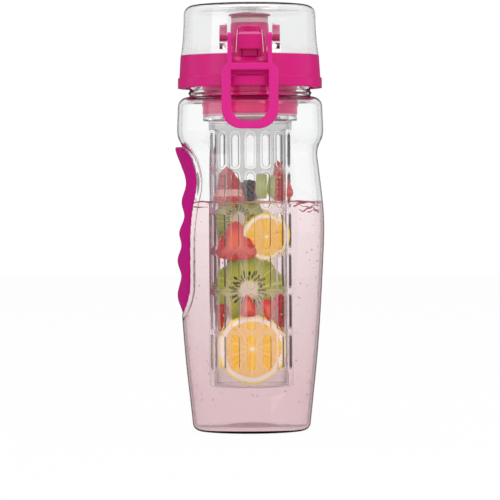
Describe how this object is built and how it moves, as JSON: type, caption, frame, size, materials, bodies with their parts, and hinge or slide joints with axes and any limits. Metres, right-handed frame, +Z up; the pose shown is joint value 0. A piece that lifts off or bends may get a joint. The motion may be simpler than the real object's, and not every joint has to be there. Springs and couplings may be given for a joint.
{
  "type": "fruit infuser water bottle",
  "caption": "Clear water bottle with a side finger grip, a screw lid with flip cover, release button and lock loop, and a slotted infuser basket under the lid.",
  "frame": {"origin": "on the bottle's axis, on the plane that its base stands on", "axes": "+Z up along the bottle's axis, -Y towards the latch and lock loop, -X towards the finger grip"},
  "size_m": [0.0906, 0.0976, 0.259],
  "materials": {
    "clear_plastic": "clear moulded plastic, polished",
    "pink_plastic": "pink moulded plastic, satin",
    "grip_rubber": "magenta soft rubber, matt",
    "seal_silicone": "pink silicone",
    "gasket_silicone": "milky silicone",
    "spring_steel": "bright spring steel"
  },
  "bodies": {
    "bottle": {"bottle_body": "clear_plastic", "finger_grip": "grip_rubber"},
    "lid_ring": {"neck_gasket": "gasket_silicone"},
    "lid": {"lid_base": "pink_plastic", "cover_hinge_pin": "spring_steel", "cover_spring": "spring_steel", "button_spring": "spring_steel"},
    "cover": {"flip_cover": "clear_plastic", "spout_seal": "seal_silicone", "loop_pins": "pink_plastic"},
    "button": {"release_button": "pink_plastic"},
    "loop": {"lock_loop": "pink_plastic"},
    "infuser": {"infuser_basket": "clear_plastic", "infuser_gasket": "gasket_silicone"}
  },
  "joints": [
    {"name": "lid_lift", "type": "slide", "parent": "bottle", "child": "lid_ring", "axis": [0, 0, 1], "range_m": [0, 0.205]},
    {"name": "lid_turn", "type": "hinge", "parent": "lid_ring", "child": "lid", "pos_m": [0, 0, 0.2236], "axis": [0, 0, 1], "range_deg": [0, 450]},
    {"name": "cover_hinge", "type": "hinge", "parent": "lid", "child": "cover", "pos_m": [0, 0.0458, 0.2268], "axis": [-1, 0, 0], "range_deg": [0, 130], "deforming": ["cover_spring"]},
    {"name": "loop_swing", "type": "hinge", "parent": "cover", "child": "loop", "pos_m": [0, -0.0454, 0.2368], "axis": [-1, 0, 0], "range_deg": [0, 150]},
    {"name": "button_press", "type": "slide", "parent": "lid", "child": "button", "axis": [0, 1, 0], "range_m": [0, 0.0015], "stiffness_N_per_m": 400, "springref_m": -0.001, "deforming": ["button_spring"]},
    {"name": "infuser_detach", "type": "slide", "parent": "lid", "child": "infuser", "axis": [0, 0, -1], "range_m": [0, 0.015]}
  ]
}
